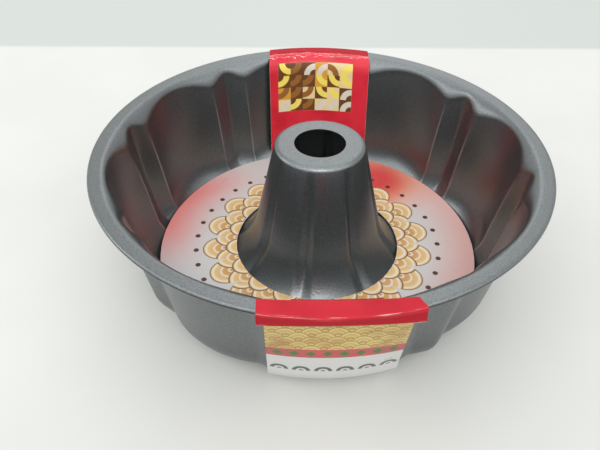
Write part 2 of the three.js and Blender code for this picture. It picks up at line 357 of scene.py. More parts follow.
def flange_profile(ridge, cove_foot):
    """Flange, and its cove down to the wall. A ridge slopes out to the flange more steadily."""
    rim = RIM_RADIUS - RIM_ROUND
    cove_radius = flange_radius + COVE_EASE
    flange_slope = FLANGE_FALL / FLANGE_WIDTH
    cove_height = PAN_HEIGHT - flange_slope * (rim - cove_radius)
    share = spread(0, 1, 7)[:, 1:-1]
    flange = (lerp(rim, cove_radius, share), lerp(PAN_HEIGHT, cove_height, share), 0)

    run = cove_radius - (flute_radius(cove_foot) - ridge * RIDGE_DEPTH)
    drop = cove_height - cove_foot
    first = np.arctan(flange_slope * run / drop)
    share = spread(0, 1, 15)
    angle = lerp(first, QUARTER_TURN, share)
    bend = (np.sin(angle) - np.sin(first)) / (1 - np.sin(first))
    fall = 1 - np.cos(angle) / np.cos(first)
    chamfer = RIDGE_CHAMFER * ridge
    straight = smooth_step(0, 1, share)
    # The cove's bend down into the pan gets painted shade
    cove = (cove_radius - run * lerp(bend, straight, chamfer),
            cove_height - drop * lerp(fall, straight, chamfer), WALL_PAINTED_SHADE * smooth_step(0.4, 1, bend))
    return [flange, cove]


def wall_profile(ridge, top_ridge, cove_foot):
    """Fluted wall, and its bend into the floor, where the ridges fade."""
    share = spread(0, 1, 19)[:, 1:-1]
    height = lerp(cove_foot, wall_foot_height, share)
    depth = lerp(top_ridge, ridge, smooth_step(0, TOP_SHARE, share)) * RIDGE_DEPTH
    # Painted shade darkens the inner wall, and fades out round the bend into the floor
    wall = (flute_radius(height) - depth, height, WALL_PAINTED_SHADE)

    angle = spread(draft_angle, QUARTER_TURN, 21)
    corner = (corner_radius(angle, ridge), corner_height - CORNER_RADIUS * np.sin(angle),
              WALL_PAINTED_SHADE * (1 - smooth_step(0, 0.5, corner_share(angle))))
    return [wall, corner]


def tube_profile(ridge, groove):
    """Floor, and the tube with its flared foot and its grooves, up to the hole."""
    share = spread(0, 1, 4)[:, 1:-1]
    floor = (lerp(corner_centre - ridge * FLOOR_RIDGE_DEPTH, flare_centre, share), SHEET, 0)

    angle = spread(QUARTER_TURN, tube_angle, 19)
    bend = (QUARTER_TURN - angle) / (QUARTER_TURN - tube_angle)
    flare = (flare_centre - FLARE_RADIUS * np.cos(angle) - groove * GROOVE_DEPTH * np.sqrt(bend),
             flare_height - FLARE_RADIUS * np.sin(angle), 0)

    share = spread(0, 1, 12)[:, 1:-1]
    height = lerp(flare_top_height, tube_round_height, share)
    side = (tube_radius(height) - groove * GROOVE_DEPTH * (1 - share ** 3), height, 0)

    angle = spread(tube_angle, QUARTER_TURN, 10)
    edge = (tube_round_centre + TUBE_ROUND * np.cos(angle),
            TUBE_HEIGHT - TUBE_ROUND * (1 - np.sin(angle)), 0)
    share = spread(0, 1, 6)[:, 1:]
    top = (lerp(tube_round_centre, TUBE_HOLE_RADIUS, share), TUBE_HEIGHT, 0)
    return [floor, flare, side, edge, top]


def pan_surface(azimuths):
    """Upper side of the sheet as a grid of points: one row for each azimuth, from the hem in to the hole.
    Also returns the painted shade at each point."""
    ridge, _ = flute_shares(azimuths, RIDGE_SOFTNESS)
    top_ridge, top_groove = flute_shares(azimuths, TOP_SOFTNESS)
    _, tube_groove = flute_shares(azimuths, TUBE_SOFTNESS)
    flute_drop = lerp(LOBE_COVE_DROP, GROOVE_COVE_DROP, top_groove)
    cove_foot = flange_height - lerp(flute_drop, RIDGE_COVE_DROP, top_ridge)
    stretches = [*rim_profile(), *flange_profile(top_ridge, cove_foot),
                 *wall_profile(ridge, top_ridge, cove_foot), *tube_profile(ridge, tube_groove)]
    column = np.zeros((len(azimuths), 1))
    grids = [np.broadcast_arrays(*stretch, column)[:3] for stretch in stretches]
    radius, height, painted_shade = (np.concatenate(grid, axis=1) for grid in zip(*grids))
    turn = np.radians(azimuths)[:, None]
    return np.stack([radius * np.cos(turn), radius * np.sin(turn), height + PAN_SEAT], axis=-1), painted_shade


def make_pan(material):
    upper, painted_shade = pan_surface(pan_azimuths())
    under = (upper - surface_normals(upper, is_ring=True) * SHEET)[:, ::-1]
    sheet = np.concatenate([upper, under], axis=1)
    mesh = make_mesh("pan", sheet.reshape(-1, 3),
                     grid_faces(*sheet.shape[:2], is_ring=True, is_tube=True), [material])
    mesh.set_sharp_from_angle(angle=SHARP_ANGLE)
    # Outside, painted shade darkens the coat towards the pan's foot
    foot_painted_shade = FOOT_PAINTED_SHADE * (1 - smooth_step(0, FOOT_PAINTED_SHADE_HEIGHT, under[..., 2]))
    painted_shades = np.concatenate([painted_shade, foot_painted_shade], axis=1).astype(np.float32)
    mesh.attributes.new("painted_shade", "FLOAT", "POINT").data.foreach_set("value", painted_shades.ravel())
    pan = make_object("pan", mesh)
    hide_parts("pan_body")
    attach(pan, "pan")


# Cards


def edge_quads(border, count):
    """Quads along a closed border of the printed face to the reverse, whose points come count later."""
    ahead = np.roll(border, -1)
    return np.stack([border, border + count, ahead + count, ahead], axis=1)


def card_mesh(name, top, under, faces, edges, materials, printed=0):
    """Closed shell of card. The first three materials: printed face, reverse, cut edge. printed is the
    material's number for the printed face, or for each of its quads."""
    quads = np.concatenate([faces, faces[:, ::-1] + len(top), edges])
    mesh = make_mesh(name, np.concatenate([top, under]), quads, materials)
    kinds = np.repeat([0, 1, 2], [len(faces), len(faces), len(edges)]).astype(np.int32)
    kinds[:len(faces)] = printed
    mesh.polygons.foreach_set("material_index", kinds)
    return mesh


def turn_sleeve(points):
    """The sleeve lies across the pan at a slight angle."""
    cosine, sine = math.cos(SLEEVE_TURN), math.sin(SLEEVE_TURN)
    x, y, z = points[..., 0], points[..., 1], points[..., 2]
    return np.stack([x * cosine - y * sine, x * sine + y * cosine, z], axis=-1)


def card_shell(name, points, strip, materials, facing, printed=0):
    """Piece of the sleeve about a grid of points on its middle, whose first and last rows only serve the
    normals. Its printed face lies along the grid's normals where facing is 1, and against them where it
    is -1. strip is each point's place on the flat card, for the print."""
    inner = slice(1, -1)
    normals = turn_sleeve(surface_normals(points) * facing)[inner].reshape(-1, 3)
    middle = turn_sleeve(points)[inner].reshape(-1, 3)
    strip = strip[inner]
    rows, columns = strip.shape[:2]
    count = rows * columns
    top, under = middle + normals * CARD / 2, middle - normals * CARD / 2
    index = np.arange(count).reshape(rows, columns)
    border = np.concatenate([index[0, :-1], index[:-1, -1], index[-1, :0:-1], index[:0:-1, 0]])
    faces = grid_faces(rows, columns)
    if facing > 0:
        border = border[::-1]
    else:
        faces = faces[:, ::-1]
    edges = edge_quads(border, count)
    mesh = card_mesh(name, top, under, faces, edges, materials, printed)

    flat = np.concatenate([strip, np.zeros((rows, columns, 1))], axis=-1).reshape(-1, 3)
    places = np.concatenate([flat, flat]).astype(np.float32)
    mesh.attributes.new("strip", "FLOAT_VECTOR", "POINT").data.foreach_set("vector", places.ravel())

    corners = np.concatenate([top, under])[edges]
    edge_normals = unit(np.cross(corners[:, 2] - corners[:, 0], corners[:, 3] - corners[:, 1]))
    loop_normals = np.concatenate([normals[faces.ravel()], -normals[faces[:, ::-1].ravel()],
                                   np.repeat(edge_normals, 4, axis=0)])
    mesh.normals_split_custom_set(loop_normals.tolist())
    return make_object(name, mesh)


def make_floor_card(materials):
    """Ring that lies on the ridges where the wall bends into the floor."""
    seat = SHEET + FLOOR_CARD_HEIGHT
    ridge_angle = math.asin((corner_height - seat) / CORNER_RADIUS)
    outer = corner_radius(ridge_angle) - CARD_GAP
    flare_angle = math.asin((flare_height - seat) / FLARE_RADIUS)
    inner = flare_centre - FLARE_RADIUS * math.cos(flare_angle) + FLOOR_CARD_HOLE_CLEARANCE
    turn = np.linspace(0, 2 * math.pi, RING_ROWS + 1)[:-1, None]
    radius = np.linspace(inner, outer, RING_COLUMNS)[None, :]
    x, y = (radius * np.cos(turn)).ravel(), (radius * np.sin(turn)).ravel()
    middle = np.full_like(x, PAN_SEAT + seat + CARD / 2)
    top, under = (np.stack([x, y, middle + offset], axis=1) for offset in (CARD / 2, -CARD / 2))
    count = RING_ROWS * RING_COLUMNS
    index = np.arange(count).reshape(RING_ROWS, RING_COLUMNS)
    edges = np.concatenate([edge_quads(index[:, -1], count), edge_quads(index[:, 0], count)[:, ::-1]])
    faces = grid_faces(RING_ROWS, RING_COLUMNS, is_ring=True)[:, ::-1]
    mesh = card_mesh("floor_card_ring", top, under, faces, edges, materials)
    mesh.set_sharp_from_angle(angle=SHARP_ANGLE)
    card = make_object("floor_card_ring", mesh)
    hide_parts("floor_card")
    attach(card, "floor_card")


# Sleeve. A point on its path is given as distance from the axis, height, straightness, drop at the card's
# edges, half width and sideways shift.


def wrap_path():
    """From the crease with the base, round the pan's foot and up the wall to the crease below the lip."""
    lip_foot = RIM_TOP - LIP_DROP
    half = WALL_PANEL_WIDTH / 2
    wrap_radius = CORNER_RADIUS + SHEET + CARD_GAP + CARD / 2
    base_crease = corner_centre + wrap_radius * math.tan((QUARTER_TURN - WRAP_ANGLE) / 2)
    points = [(base_crease, CARD / 2, BASE_STRAIGHT, 0, half, 0)]
    for angle in np.linspace(WRAP_ANGLE, draft_angle, 24):
        radius = corner_centre + wrap_radius * math.cos(angle)
        height = PAN_SEAT + corner_height - wrap_radius * math.sin(angle)
        straight = BASE_STRAIGHT * (angle - draft_angle) / (WRAP_ANGLE - draft_angle)
        points.append((radius, height, straight, 0, half, 0))
    foot, turn = PAN_SEAT + wall_foot_height, lip_foot - CREASE_RELIEF - FOLD_BACK_DROP
    for share in np.linspace(0, 1, 14)[1:]:
        height = lerp(foot, turn, share)
        radius = flute_radius(height - PAN_SEAT) + (SHEET + CREASE_RELIEF) / math.cos(draft_angle)
        drop = LIP_END_DROP * max(0, 2 * share - 1)
        points.append((radius, height, WALL_PANEL_STRAIGHT * share, drop, half, 0))
    points.append((LIP_RADIUS, lip_foot, LIP_STRAIGHT, LIP_END_DROP, SLEEVE_WIDTH / 2, 0))
    return points


def rim_path(is_front):
    """From the crease on top of the lip in to the crease of the flap."""
    half = SLEEVE_WIDTH / 2
    if is_front:
        # Flat card with a nearly straight inner edge, drawn in a little towards it
        reach, height = FRONT_RIM_REACH, CREASE_Z - CARD_GAP / 2
        straight, taper = FRONT_RIM_STRAIGHT, FRONT_RIM_TAPER
    else:
        reach, height = flange_radius + CREASE_RELIEF, PAN_SEAT + flange_height + CREASE_RELIEF
        straight = taper = 0
    return [(LIP_RADIUS, CREASE_Z, 0, 0, half, 0),
            (RIM_RADIUS - RIM_ROUND, CREASE_Z, straight / 2, 0, half, 0),
            (reach, height, straight, 0, half - taper, -taper)]


def ridge_line(drop):
    """Inner side of a ridge from the flange down to the tip of a flap: distances and heights."""
    cove_foot = flange_height - RIDGE_COVE_DROP
    cove_run = flange_radius - (flute_radius(cove_foot) - RIDGE_DEPTH)
    angle = np.linspace(0, QUARTER_TURN, 40)
    radius = flange_radius - cove_run * np.sin(angle)
    height = flange_height - RIDGE_COVE_DROP * (1 - np.cos(angle))
    below = np.linspace(cove_foot, PAN_HEIGHT - drop, 80)[1:]
    bend = np.arcsin(np.clip((corner_height - below) / CORNER_RADIUS, -1, 1))
    straight = flute_radius(below) - RIDGE_DEPTH
    below_radius = np.where(below < wall_foot_height, corner_radius(bend), straight)
    return np.concatenate([radius, below_radius]), np.concatenate([height, below])


def flap_path(is_front, edge):
    """From the flap's crease, whose point is edge, down the ridges of the wall to the flap's tip."""
    radius, height = ridge_line(FRONT_FLAP_DROP if is_front else BACK_FLAP_DROP)
    away = unit(np.stack([np.gradient(height), -np.gradient(radius)], axis=1))
    relief = CARD / 2 + FRONT_FLAP_GAP if is_front else CREASE_RELIEF
    radius, height = radius + away[:, 0] * relief, height + away[:, 1] * relief + PAN_SEAT
    keep = radius < (FRONT_RIM_REACH - CARD_GAP if is_front else flange_radius)
    radius, height = radius[keep], height[keep]
    _, _, straight, _, half, shift = edge
    ease = smooth_step(RIM_TOP - FLAP_EASE_FOOT, RIM_TOP - FLAP_EASE_TOP, height)
    return [(r, h, straight * e, 0, half, shift * e) for r, h, e in zip(radius, height, ease)]


def sleeve_path(is_front):
    """Middle of the sleeve's card on one side: its points, the distance along it of each, and those of
    three creases: below the lip, on top of the lip, and at the flap."""
    wrap, rim = wrap_path(), rim_path(is_front)
    points = np.array([*wrap, *rim, *flap_path(is_front, rim[-1])])
    along = np.concatenate([[0], np.cumsum(np.hypot(*np.diff(points[:, :2], axis=0).T))])
    top = len(wrap)
    return points, along, along[top - 1], along[top], along[top + len(rim) - 1]


def rounded_path(sampled, softness):
    """Samples along a path, each taken together with its neighbours, so that corners become round."""
    reach = int(4 * softness / PATH_STEP)
    kernel = np.exp(-0.5 * (np.arange(-reach, reach + 1) * PATH_STEP / softness) ** 2)
    kernel /= kernel.sum()
    padded = np.concatenate([2 * sampled[:1] - sampled[reach:0:-1], sampled,
                             2 * sampled[-1:] - sampled[-2:-reach - 2:-1]])
    return np.stack([np.convolve(column, kernel, mode="valid") for column in padded.T], axis=1)


def smooth_path(points, along, folds, rim_fold):
    """Rows of the card along its path, with rounded folds and closer rows at each fold."""
    fine = np.arange(0, along[-1] + PATH_STEP, PATH_STEP)
    sampled = resample(fine, along, points)
    at_rim = 1 - smooth_step(RIM_FOLD_SPAN / 2, RIM_FOLD_SPAN, np.abs(fine - rim_fold))[:, None]
    rounded = lerp(rounded_path(sampled, FOLD_SOFTNESS), rounded_path(sampled, RIM_FOLD_SOFTNESS), at_rim)
    rows = [np.arange(0, along[-1], ROW_STEP), [along[-1]]]
    rows += [np.arange(fold - FOLD_REACH, fold + FOLD_REACH, FINE_ROW_STEP) for fold in folds]
    rows = np.unique(np.round(np.concatenate(rows), 3))
    rows = rows[np.concatenate([[True], np.diff(rows) > FINE_ROW_STEP * 0.4])]
    rows[-1] = along[-1]
    return rows, resample(rows, fine, rounded)


def wrinkles(across, down):
    """Puckers in the handled card just inside the back rim, as heights over the smooth sheet."""
    random = np.random.default_rng(WRINKLE_SEED)
    total = np.zeros(np.broadcast(across, down).shape)
    for _ in range(WRINKLES):
        centre, start = random.uniform(-34, 34), random.uniform(-4.5, 6.5)
        wide, long = random.uniform(1.2, 4.2), random.uniform(0.6, 1.7)
        lean = random.uniform(-0.35, 0.35)
        place = (down - start - lean * (across - centre)) / long
        total += random.uniform(0.12, 0.42) * np.exp(-((across - centre) / wide) ** 2 - place ** 2)
    return total * smooth_step(-5.5, -3.0, down) * (1 - smooth_step(7.0, 12.0, down))


def slack(across, past):
    """Long soft swells in the card at the front rim's top crease, as heights over the smooth sheet."""
    swell = 0.5 + 0.5 * np.sin(across * 0.17 + 1.1 * np.sin(across * 0.085 + 0.7) + 2.4)
    return FRONT_SLACK * swell * smooth_step(-1.8, -0.6, past) * (1 - smooth_step(-0.4, 1.0, past))


class SleeveSide:
    """One side of the sleeve as a smooth sheet that its pieces are cut from. side is its sign along Y."""

    def __init__(self, side):
        self.side = side
        points, along, self.under_lip, self.top, self.edge = sleeve_path(is_front=side < 0)
        self.tip = along[-1]
        self.along, self.rows = smooth_path(points, along, [self.under_lip, self.top, self.edge], self.top)

    def height(self, along):
        return float(np.interp(along, self.along, self.rows[:, 1]))

    def grid(self, along, half_width=None, scale=1.0):
        """Middle points, and places on the flat card, of rows at distances along it. scale draws a row in
        towards the axis."""
        across = np.linspace(-1, 1, COLUMNS)[None, :]
        rows = resample(along, self.along, self.rows)
        radius, height, straight, drop, half, shift = (column[:, None] for column in rows.T)
        half = half if half_width is None else np.full_like(half, half_width)
        x = SLEEVE_SHIFT + shift + across * half
        reach = lerp(np.sqrt(radius ** 2 - x ** 2), radius, straight) * scale
        points = np.stack([x, self.side * reach, height - drop * across ** 2], axis=-1)
        return points, np.stack(np.broadcast_arrays(across * half, along[:, None]), axis=-1)

    def half_wrap(self, end):
        """Grid from the pan's axis out along the base and up to a cut in the lip."""
        wall = self.along[self.along < end - ROW_CLEARANCE]
        base = np.linspace(0, 1, BASE_ROWS)[:-1]
        along = np.concatenate([(base - 1) * self.rows[0, 0], wall, [end, end + ROW_MARGIN]])
        scale = np.ones((len(along), 1))
        scale[:len(base), 0] = base
        return self.grid(along, scale=scale)

    def unevenness(self, strip):
        """Heights of a used card over the smooth sheet."""
        across, along = strip[..., 0], strip[..., 1]
        if self.side < 0:
            return slack(across, along - self.top)
        return wrinkles(across, along - self.edge)

    def piece(self, name, start, end, materials, half_width=None):
        """Piece of card between two distances along the sleeve."""
        inner = (self.along > start + ROW_CLEARANCE) & (self.along < end - ROW_CLEARANCE)
        along = np.concatenate([[start - ROW_MARGIN, start], self.along[inner], [end, end + ROW_MARGIN]])
        points, strip = self.grid(along, half_width)
        points = points + surface_normals(points) * self.side * self.unevenness(strip)[..., None]
        return card_shell(name, points, strip, materials, facing=self.side)


def make_wrap(front, back, finishes):
    """The part of the sleeve that stays with the pan, from the back lip under the base to the front lip."""
    end = front.top - LIP_TOP_CUT
    (back_points, back_strip), (front_points, front_strip) = back.half_wrap(end), front.half_wrap(end)
    points = np.concatenate([back_points[:0:-1], front_points])
    strip = np.concatenate([back_strip[:0:-1], front_strip])
    # The printed face is plain under the base, printed on each wall and red on each lip
    slot = list(finishes).index
    along = (strip[1:-2, 0, 1] + strip[2:-1, 0, 1]) / 2
    is_front = np.arange(len(along)) >= len(back_points) - 2
    wall = np.where(is_front, slot("front"), slot("back"))
    lip = np.where(is_front, slot("front_lip"), slot("back_lip"))
    finish = np.where(along < 0, slot("base"), np.where(along > front.under_lip, lip, wall))
    wrap = card_shell("sleeve_wrap", points, strip, list(finishes.values()), facing=-1,
                      printed=np.repeat(finish, COLUMNS - 1))
    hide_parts("sleeve_base_panel", "sleeve_front_wall_panel", "sleeve_front_lip",
                "sleeve_back_wall_panel", "sleeve_back_lip")
    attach(wrap, "pan")


def level(height):
    return (0, 0, height * METRE)


def make_rim_and_flap(side, label, rim_shell, flap_shell, flap_half=None):
    """The pieces of one side beyond the lip: fold over the rim, rim panel, bend of the flap, and flap. The
    rim panel and the flap go with bodies of their own.
    """
    rim_start = side.top + RIM_FOLD_REACH
    flap_start = side.edge + FLAP_BEND

    fold = side.piece(f"sleeve_{label}_rim_fold", side.top - LIP_TOP_CUT, rim_start, rim_shell)
    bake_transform(fold)

    rim = side.piece(f"sleeve_{label}_rim", rim_start, side.edge, rim_shell)
    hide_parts(f"sleeve_{label}_rim_panel")
    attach(rim, f"{label}_rim_panel")

    bend = side.piece(f"sleeve_{label}_flap_fold", side.edge, flap_start, flap_shell, flap_half)
    level(side.height(side.edge) - CARD)
    level(side.height(flap_start) + CARD)
    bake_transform(bend)

    flap = side.piece(f"sleeve_{label}_flap_sheet", flap_start, side.tip, flap_shell, flap_half)
    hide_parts(f"sleeve_{label}_flap")
    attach(flap, f"{label}_flap")


# Materials


class Value:
    """A number that a material works out at each point of a surface."""

    def __init__(self, socket):
        self.socket = socket

    def math(self, operation, *others, first=None):
        node = self.socket.id_data.nodes.new("ShaderNodeMath")
        node.operation = operation
        items = (self, *others) if first is None else (first, self)
        for socket, item in zip(node.inputs, items):
            feed(socket, item)
        return Value(node.outputs[0])

    def __add__(self, other):
        return self.math("ADD", other)

    def __sub__(self, other):
        return self.math("SUBTRACT", other)

    def __mul__(self, other):
        return self.math("MULTIPLY", other)

    def __truediv__(self, other):
        return self.math("DIVIDE", other)

    def __rsub__(self, other):
        return self.math("SUBTRACT", first=other)

    __radd__ = __add__
    __rmul__ = __mul__

    def ramp(self, low, high):
        """0 below low, 1 above high, smooth between."""
        node = self.socket.id_data.nodes.new("ShaderNodeMapRange")
        node.interpolation_type = "SMOOTHSTEP"
        feed(node.inputs["Value"], self)
        feed(node.inputs["From Min"], low)
        feed(node.inputs["From Max"], high)
        return Value(node.outputs["Result"])

    def between(self, low, high, soft):
        return self.ramp(low - soft, low + soft) * (1 - self.ramp(high - soft, high + soft))

    def repeat(self, pitch):
        """Distance from the middle of the cell, where cells of one width follow each other."""
        return ((self / pitch).math("FRACT") - 0.5) * pitch


def feed(socket, item):
    if isinstance(item, Value):
        item.socket.id_data.links.new(item.socket, socket)
    elif isinstance(item, bpy.types.NodeSocket):
        item.id_data.links.new(item, socket)
    elif isinstance(item, tuple):
        socket.default_value = (*item, 1.0)
    else:
        socket.default_value = item


def length(a, b):
    return (a * a + b * b).math("SQRT")


def layer(below, above, mask):
    """Colour above over colour below, where mask is 1."""
    node = mask.socket.id_data.nodes.new("ShaderNodeMix")
    node.data_type = "RGBA"
    feed(node.inputs[0], mask)
    feed(node.inputs[6], below)
    feed(node.inputs[7], above)
    return node.outputs[2]


class Surface:
    """A material with one principled shader."""

    def __init__(self, name):
        self.material = bpy.data.materials.new(name)
        self.material.use_nodes = True
        self.tree = self.material.node_tree
        self.shader = self.tree.nodes["Principled BSDF"]

    def set(self, socket, value):
        feed(self.shader.inputs[socket], value)

    def add(self, kind, **inputs):
        node = self.tree.nodes.new(kind)
        for socket, value in inputs.items():
            feed(node.inputs[socket], value)
        return node

    def place(self):
        """Point on the piece, in metres."""
        return self.add("ShaderNodeTexCoord").outputs["Object"]

    def attribute(self, name):
        node = self.add("ShaderNodeAttribute")
        node.attribute_name = name
        return node.outputs

    def axes(self, vector, scale=1.0):
        node = self.add("ShaderNodeSeparateXYZ", Vector=vector)
        return [Value(output) * scale for output in node.outputs]

    def strip(self):
        """Place on the flat card in millimetres, and its distances across and along the card."""
        place = self.attribute("strip")["Vector"]
        across, along, _ = self.axes(place)
        return place, across, along

    def scaled(self, vector, factors):
        """The same place with each of its axes drawn out or pressed together."""
        node = self.add("ShaderNodeVectorMath")
        node.operation = "MULTIPLY"
        feed(node.inputs[0], vector)
        node.inputs[1].default_value = factors
        return node.outputs[0]

    def noise(self, vector, scale, detail=2.0, roughness=0.5):
        node = self.add("ShaderNodeTexNoise", Vector=vector, Scale=scale, Detail=detail,
                        Roughness=roughness)
        return Value(node.outputs[0])

    def chance(self, x, y, z):
        """Three random numbers, always the same for the same cell."""
        cell = self.add("ShaderNodeCombineXYZ", X=x, Y=y, Z=z).outputs[0]
        noise = self.add("ShaderNodeTexWhiteNoise", Vector=cell)
        parts = self.add("ShaderNodeSeparateColor", Color=noise.outputs["Color"])
        return [Value(output) for output in parts.outputs]

    def bump(self, height, distance, strength=1.0, below=None):
        """Normal of a relief; distance is in metres."""
        node = self.add("ShaderNodeBump", Height=height, Distance=distance, Strength=strength)
        if below is not None:
            feed(node.inputs["Normal"], below)
        return node.outputs["Normal"]


def painted_ridge_highlights(surface, place):
    """1 along the edges of the wall's pressed ridges, on the inside, where a lighter coat is drawn as a
    painted highlight.
    """
    x, y, z = surface.axes(place, 1 / METRE)
    turn = y.math("ARCTAN2", x) * (180 / math.pi) - FLUTE_PHASE
    aside = (turn + FLUTE_PITCH / 2).repeat(FLUTE_PITCH).math("ABSOLUTE")
    edge = aside.between(V_HALF_ANGLE - 0.22, V_HALF_ANGLE + 0.22, 0.16)
    on_wall = length(x, y).ramp(84, 92) * (1 - z.ramp(RIM_TOP - 24, RIM_TOP - 12))
    normal_x, normal_y, _ = surface.axes(surface.add("ShaderNodeNewGeometry").outputs["Normal"])
    inward = 1 - (x * normal_x + y * normal_y).ramp(-30, 30)
    return edge * on_wall * inward


def coated_steel():
    """Satin metallic coat with fine flakes, with painted shade from the mesh and painted highlights along
    the inner ridges.
    """
    dark, light, cloud = (0.154, 0.165, 0.168), (0.238, 0.253, 0.259), (0.172, 0.184, 0.189)
    painted_shade_colour, ridge_highlight_colour = (0.018, 0.019, 0.02), (0.40, 0.42, 0.43)
    surface = Surface("coated_steel")
    place = surface.place()
    flakes = surface.noise(place, 1500, 3, 0.7)
    clouds = surface.noise(place, 26, 3)
    colour = layer(dark, light, flakes.ramp(0.32, 0.7))
    colour = layer(colour, cloud, clouds.ramp(0.45, 0.8) * 0.35)
    # Painted shade from the mesh darkens the coat on the hem's curl, the inner wall and the outer foot
    colour = layer(colour, painted_shade_colour, Value(surface.attribute("painted_shade")["Fac"]))
    # Painted highlight: lighter coat along the inner edges of the ridges
    colour = layer(colour, ridge_highlight_colour, painted_ridge_highlights(surface, place) * clouds.ramp(0.3, 0.6) * 0.8)
    surface.set("Base Color", colour)
    surface.set("Metallic", 0.92)
    surface.set("Roughness", 0.26 + clouds * 0.07 + flakes * 0.07)
    peel = surface.bump(surface.noise(place, 620, 2), 0.00022, 0.3)
    surface.set("Normal", surface.bump(flakes, 0.00003, 0.2, peel))
    return surface.material


def finish_print(surface, colour, place, wear, gloss=0.2):
    """Varnished card: fine mottle in the ink, worn white where it is folded (along the lips' creases partly
    a painted highlight), with a little unevenness.
    """
    mottle = surface.noise(place, 1.6, 3)
    broad = surface.noise(place, 0.09, 2)
    colour = layer(colour, (0.30, 0.18, 0.14), mottle.ramp(0.5, 0.9) * 0.10)
    streaks = surface.scaled(place, (0.07, 1.6, 1.0))
    worn_white_and_highlight = wear * surface.noise(streaks, 1.0, 3, 0.65).ramp(0.5, 0.66)
    surface.set("Base Color", layer(colour, PAPER, worn_white_and_highlight))
    surface.set("Roughness", 0.24 + broad * 0.12 + worn_white_and_highlight * 0.4)
    swell = surface.bump(broad, 0.0012, 0.35)
    surface.set("Normal", surface.bump(mottle, 0.00006, 0.4, swell))
    surface.set("Specular IOR Level", gloss)
    surface.set("Coat Weight", gloss / 2)
    surface.set("Coat Roughness", 0.1)
    return surface.material


def uneven_ink(surface, strip, ink, other, share=1.0):
    """An ink that goes over into another in broad patches."""
    return layer(ink, other, surface.noise(strip, 0.05, 2).ramp(0.35, 0.75) * share)


def red_card(name, under_lip, top, ink, gloss):
    """Plain red card, with painted shade darkening the lip between its creases, and worn white along the
    lip's two creases, partly wear and partly a painted highlight.
    """
    surface = Surface(name)
    strip, _, along = surface.strip()
    colour = uneven_ink(surface, strip, ink, DARK_PATCH_AND_LIP_SHADE_RED, 0.6)
    # Painted shade: the lip is drawn in darker red between its creases
    colour = layer(colour, DARK_PATCH_AND_LIP_SHADE_RED, along.between(under_lip - 2, top - 1.2, 0.8))
    # White along both creases: partly wear, partly a painted highlight
    low, high = (along.between(crease - FOLD_WEAR_AND_HIGHLIGHT, crease + FOLD_WEAR_AND_HIGHLIGHT, FOLD_WEAR_AND_HIGHLIGHT)
                 for crease in (under_lip, top))
    return finish_print(surface, colour, strip, low.math("MAXIMUM", high) * 0.5, gloss)


def lip_crease_wear_and_highlight(along, under_lip):
    """White where a wall panel is folded out into its lip: partly wear, partly a painted highlight along
    the crease.
    """
    return along.between(under_lip - 0.7, under_lip + 0.5, 0.4) * 0.6


def fans(across, along, width, step, rings):
    """Rows of overlapping fans: distance from the centre of the fan in front as a share of its reach, and
    its rings. Each row stands half a fan to the side of the row before it and half a fan's height on."""
    row = (along / step).math("FLOOR")
    far = None
    for ahead in range(3):
        centre = row + ahead
        shift = centre.math("MODULO", 2.0) * 0.5
        cell = ((across / width + shift).math("FRACT") - 0.5) * 2.0
        share = length(cell, (centre - along / step) * 0.5)
        far = share if far is None else far + (share - far) * share.math("LESS_THAN", 1.0)
    return far, (far * rings).math("FRACT").between(0.36, 0.64, 0.1)


def front_panel_print(under_lip):
    """Golden fans over a red band of green lozenges, and a white foot with a row of grey half rounds."""
    ochre, gold, pale_gold = (0.40, 0.235, 0.045), (0.52, 0.39, 0.12), (0.62, 0.53, 0.30)
    outline, amber, green = (0.22, 0.09, 0.018), (0.33, 0.16, 0.05), (0.07, 0.15, 0.035)
    surface = Surface("front_panel_print")
    strip, across, along = surface.strip()
    down = under_lip - along
    glow = surface.noise(strip, 0.06, 2)
    far, line = fans(across, down, FRONT_FAN_WIDTH, FRONT_FAN_STEP, 3.0)
    colour = layer(ochre, gold, far.ramp(0.1, 0.9))
    colour = layer(colour, pale_gold, line * 0.75)
    colour = layer(colour, outline, far.ramp(0.9, 0.97) * 0.7)
    colour = layer(colour, amber, glow.ramp(0.45, 0.7) * 0.7)

    band = layer((0.50, 0.07, 0.085), (0.36, 0.09, 0.085), glow.ramp(0.4, 0.6))
    lozenge = across.repeat(LOZENGE_PITCH).math("ABSOLUTE") + (down - BAND_MIDDLE).math("ABSOLUTE")
    band = layer(band, green, 1 - lozenge.ramp(2.5, 2.9))
    foot_top = BAND_MIDDLE + BAND_WIDTH / 2
    colour = layer(colour, band, down.between(foot_top - BAND_WIDTH, foot_top, 0.2))

    out = length(across.repeat(HALF_ROUND_PITCH), down - HALF_ROUND_FOOT)
    half_round = out.between(2.6, 4.6, 0.2) + (1 - out.ramp(1.0, 1.4))
    half_round = half_round * (HALF_ROUND_FOOT - down).ramp(-0.2, 0.2)
    foot = layer((0.53, 0.525, 0.515), (0.10, 0.095, 0.1), half_round)
    colour = layer(colour, foot, down.ramp(foot_top - 0.2, foot_top + 0.2))
    return finish_print(surface, colour, strip, lip_crease_wear_and_highlight(along, under_lip))


def back_panel_print(under_lip):
    """Red with a cream band of fans between two white lines."""
    surface = Surface("back_panel_print")
    strip, across, along = surface.strip()
    down = under_lip - along
    _, line = fans(across, down, BACK_FAN_WIDTH, BACK_FAN_STEP, 3.0)
    cream = layer((0.76, 0.68, 0.50), (0.72, 0.47, 0.17), line * 0.7)
    colour = layer(uneven_ink(surface, strip, RED, DEEP_RED), cream, down.between(*BACK_BAND, 0.25))
    for start, end in BACK_LINES:
        colour = layer(colour, PAPER, down.between(start, end, 0.15))
    return finish_print(surface, colour, strip, lip_crease_wear_and_highlight(along, under_lip))


